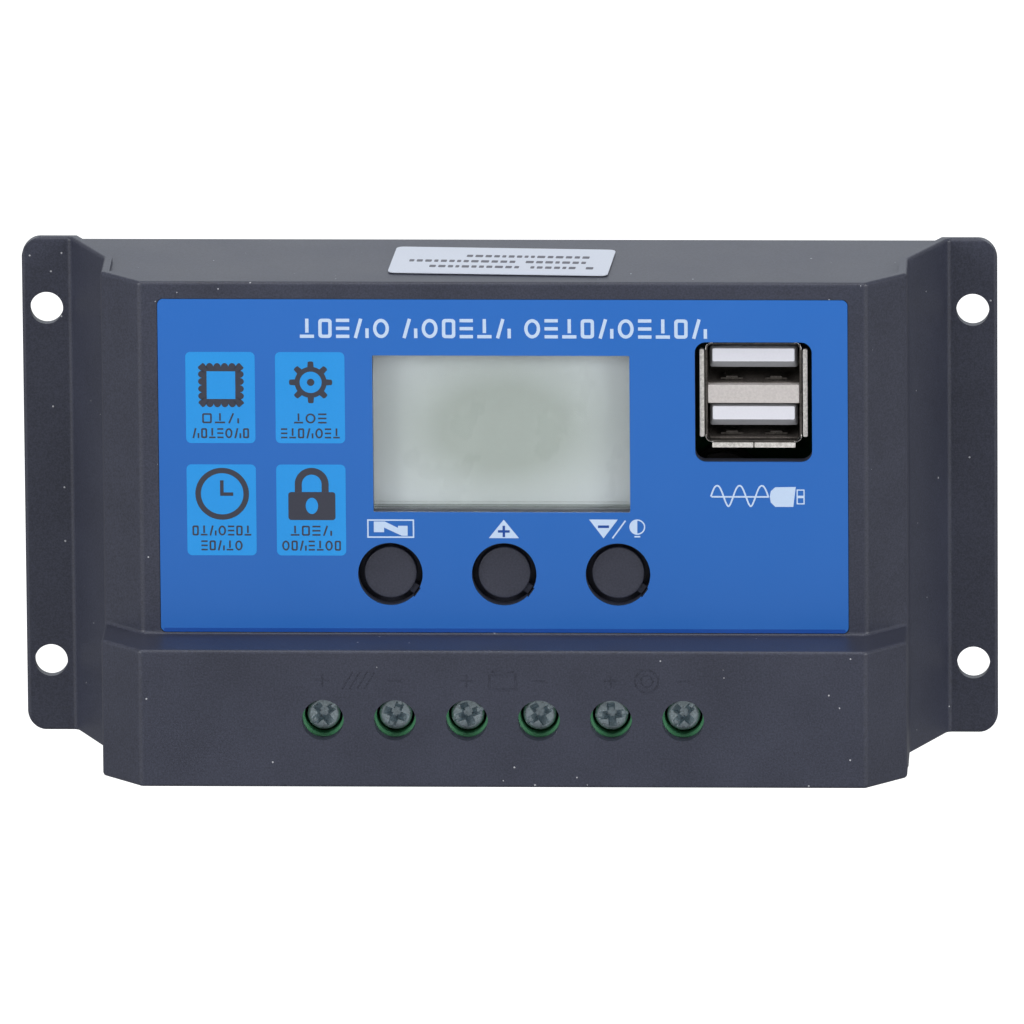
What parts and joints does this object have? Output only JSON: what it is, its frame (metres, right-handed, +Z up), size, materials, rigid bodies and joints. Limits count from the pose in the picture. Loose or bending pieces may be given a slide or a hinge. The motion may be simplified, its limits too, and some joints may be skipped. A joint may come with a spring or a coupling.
{
  "type": "solar charge controller",
  "caption": "Wall-mounted solar charge controller: black case with ears, blue label, display, push buttons, twin USB socket and screw terminals.",
  "frame": {"origin": "centre of the face that lies against the wall", "axes": "+X to the right along the length, +Z up, +Y into the wall; the front faces -Y"},
  "size_m": [0.1334, 0.0345, 0.07],
  "materials": {
    "case_black": "satin, fine grain",
    "dark_screw": "blackened, satin",
    "label_blue": "gloss",
    "clear_window": "clear gloss",
    "sticker_white": "matte paper",
    "white_plastic": "matte",
    "lcd_grey": "satin polariser",
    "component_black": "matte",
    "board_green": "satin solder mask",
    "zinc_steel": "zinc plated",
    "button_black": "satin",
    "usb_nickel": "nickel plated",
    "usb_white": "matte",
    "terminal_green": "satin",
    "clamp_brass": "tin-washed",
    "pad_grey": "matte",
    "sink_aluminium": "plain",
    "capacitor_sleeve": "gloss",
    "ferrite": "matte"
  },
  "bodies": {
    "case": {"front_shell": "case_black", "back_cover": "case_black", "back_screw_1": "dark_screw", "back_screw_2": "dark_screw", "back_screw_3": "dark_screw", "back_screw_4": "dark_screw", "label_film": "label_blue", "display_window": "clear_window", "rating_sticker": "sticker_white", "lcd_frame": "white_plastic", "lcd_glass": "lcd_grey", "lcd_light_guide": "white_plastic", "lcd_pin_header": "component_black", "main_board": "board_green", "board_screw_1": "zinc_steel", "board_screw_2": "zinc_steel", "board_screw_3": "zinc_steel", "board_screw_4": "zinc_steel", "switch_body_left": "component_black", "switch_body_middle": "component_black", "switch_body_right": "component_black", "usb_shell": "usb_nickel", "usb_tongue_upper": "usb_white", "usb_tongue_lower": "usb_white", "terminal_block": "terminal_green", "contact_bar_1": "clamp_brass", "contact_bar_2": "clamp_brass", "contact_bar_3": "clamp_brass", "contact_bar_4": "clamp_brass", "contact_bar_5": "clamp_brass", "contact_bar_6": "clamp_brass", "power_transistor_1": "component_black", "power_transistor_2": "component_black", "power_transistor_3": "component_black", "thermal_pad": "pad_grey", "heat_sink": "sink_aluminium", "capacitor_1": "capacitor_sleeve", "capacitor_2": "capacitor_sleeve", "inductor": "ferrite", "controller_chip": "component_black", "converter_chip": "component_black"},
    "button_left": {"button_cap_left": "button_black"},
    "plunger_left": {"switch_plunger_left": "component_black"},
    "button_middle": {"button_cap_middle": "button_black"},
    "plunger_middle": {"switch_plunger_middle": "component_black"},
    "button_right": {"button_cap_right": "button_black"},
    "plunger_right": {"switch_plunger_right": "component_black"},
    "screw_1": {"terminal_screw_1": "zinc_steel"},
    "clamp_1": {"clamp_cage_1": "clamp_brass"},
    "screw_2": {"terminal_screw_2": "zinc_steel"},
    "clamp_2": {"clamp_cage_2": "clamp_brass"},
    "screw_3": {"terminal_screw_3": "zinc_steel"},
    "clamp_3": {"clamp_cage_3": "clamp_brass"},
    "screw_4": {"terminal_screw_4": "zinc_steel"},
    "clamp_4": {"clamp_cage_4": "clamp_brass"},
    "screw_5": {"terminal_screw_5": "zinc_steel"},
    "clamp_5": {"clamp_cage_5": "clamp_brass"},
    "screw_6": {"terminal_screw_6": "zinc_steel"},
    "clamp_6": {"clamp_cage_6": "clamp_brass"}
  },
  "joints": [
    {"name": "button_left_press", "type": "slide", "parent": "case", "child": "button_left", "axis": [0, 1, 0], "range_m": [0, 0.0004], "stiffness_N_per_m": 400},
    {"name": "plunger_left_press", "type": "slide", "parent": "case", "child": "plunger_left", "axis": [0, 1, 0], "range_m": [0, 0.0004], "stiffness_N_per_m": 400},
    {"name": "button_middle_press", "type": "slide", "parent": "case", "child": "button_middle", "axis": [0, 1, 0], "range_m": [0, 0.0004], "stiffness_N_per_m": 400},
    {"name": "plunger_middle_press", "type": "slide", "parent": "case", "child": "plunger_middle", "axis": [0, 1, 0], "range_m": [0, 0.0004], "stiffness_N_per_m": 400},
    {"name": "button_right_press", "type": "slide", "parent": "case", "child": "button_right", "axis": [0, 1, 0], "range_m": [0, 0.0004], "stiffness_N_per_m": 400},
    {"name": "plunger_right_press", "type": "slide", "parent": "case", "child": "plunger_right", "axis": [0, 1, 0], "range_m": [0, 0.0004], "stiffness_N_per_m": 400},
    {"name": "screw_1_turn", "type": "hinge", "parent": "case", "child": "screw_1", "pos_m": [-0.0245, -0.0305, -0.0243], "axis": [0, 1, 0], "range_deg": [0, 1800]},
    {"name": "clamp_1_lift", "type": "slide", "parent": "case", "child": "clamp_1", "axis": [0, -1, 0], "range_m": [0, 0.0035]},
    {"name": "screw_2_turn", "type": "hinge", "parent": "case", "child": "screw_2", "pos_m": [-0.0147, -0.0305, -0.0243], "axis": [0, 1, 0], "range_deg": [0, 1800]},
    {"name": "clamp_2_lift", "type": "slide", "parent": "case", "child": "clamp_2", "axis": [0, -1, 0], "range_m": [0, 0.0035]},
    {"name": "screw_3_turn", "type": "hinge", "parent": "case", "child": "screw_3", "pos_m": [-0.0049, -0.0305, -0.0243], "axis": [0, 1, 0], "range_deg": [0, 1800]},
    {"name": "clamp_3_lift", "type": "slide", "parent": "case", "child": "clamp_3", "axis": [0, -1, 0], "range_m": [0, 0.0035]},
    {"name": "screw_4_turn", "type": "hinge", "parent": "case", "child": "screw_4", "pos_m": [0.0049, -0.0305, -0.0243], "axis": [0, 1, 0], "range_deg": [0, 1800]},
    {"name": "clamp_4_lift", "type": "slide", "parent": "case", "child": "clamp_4", "axis": [0, -1, 0], "range_m": [0, 0.0035]},
    {"name": "screw_5_turn", "type": "hinge", "parent": "case", "child": "screw_5", "pos_m": [0.0147, -0.0305, -0.0243], "axis": [0, 1, 0], "range_deg": [0, 1800]},
    {"name": "clamp_5_lift", "type": "slide", "parent": "case", "child": "clamp_5", "axis": [0, -1, 0], "range_m": [0, 0.0035]},
    {"name": "screw_6_turn", "type": "hinge", "parent": "case", "child": "screw_6", "pos_m": [0.0245, -0.0305, -0.0243], "axis": [0, 1, 0], "range_deg": [0, 1800]},
    {"name": "clamp_6_lift", "type": "slide", "parent": "case", "child": "clamp_6", "axis": [0, -1, 0], "range_m": [0, 0.0035]}
  ],
  "couplings": [
    {"joint": "plunger_left_press", "follows": "button_left_press", "ratio": 1},
    {"joint": "plunger_middle_press", "follows": "button_middle_press", "ratio": 1},
    {"joint": "plunger_right_press", "follows": "button_right_press", "ratio": 1},
    {"joint": "screw_1_turn", "follows": "clamp_1_lift", "rad_per_m": 8975.9},
    {"joint": "screw_2_turn", "follows": "clamp_2_lift", "rad_per_m": 8975.9},
    {"joint": "screw_3_turn", "follows": "clamp_3_lift", "rad_per_m": 8975.9},
    {"joint": "screw_4_turn", "follows": "clamp_4_lift", "rad_per_m": 8975.9},
    {"joint": "screw_5_turn", "follows": "clamp_5_lift", "rad_per_m": 8975.9},
    {"joint": "screw_6_turn", "follows": "clamp_6_lift", "rad_per_m": 8975.9}
  ]
}
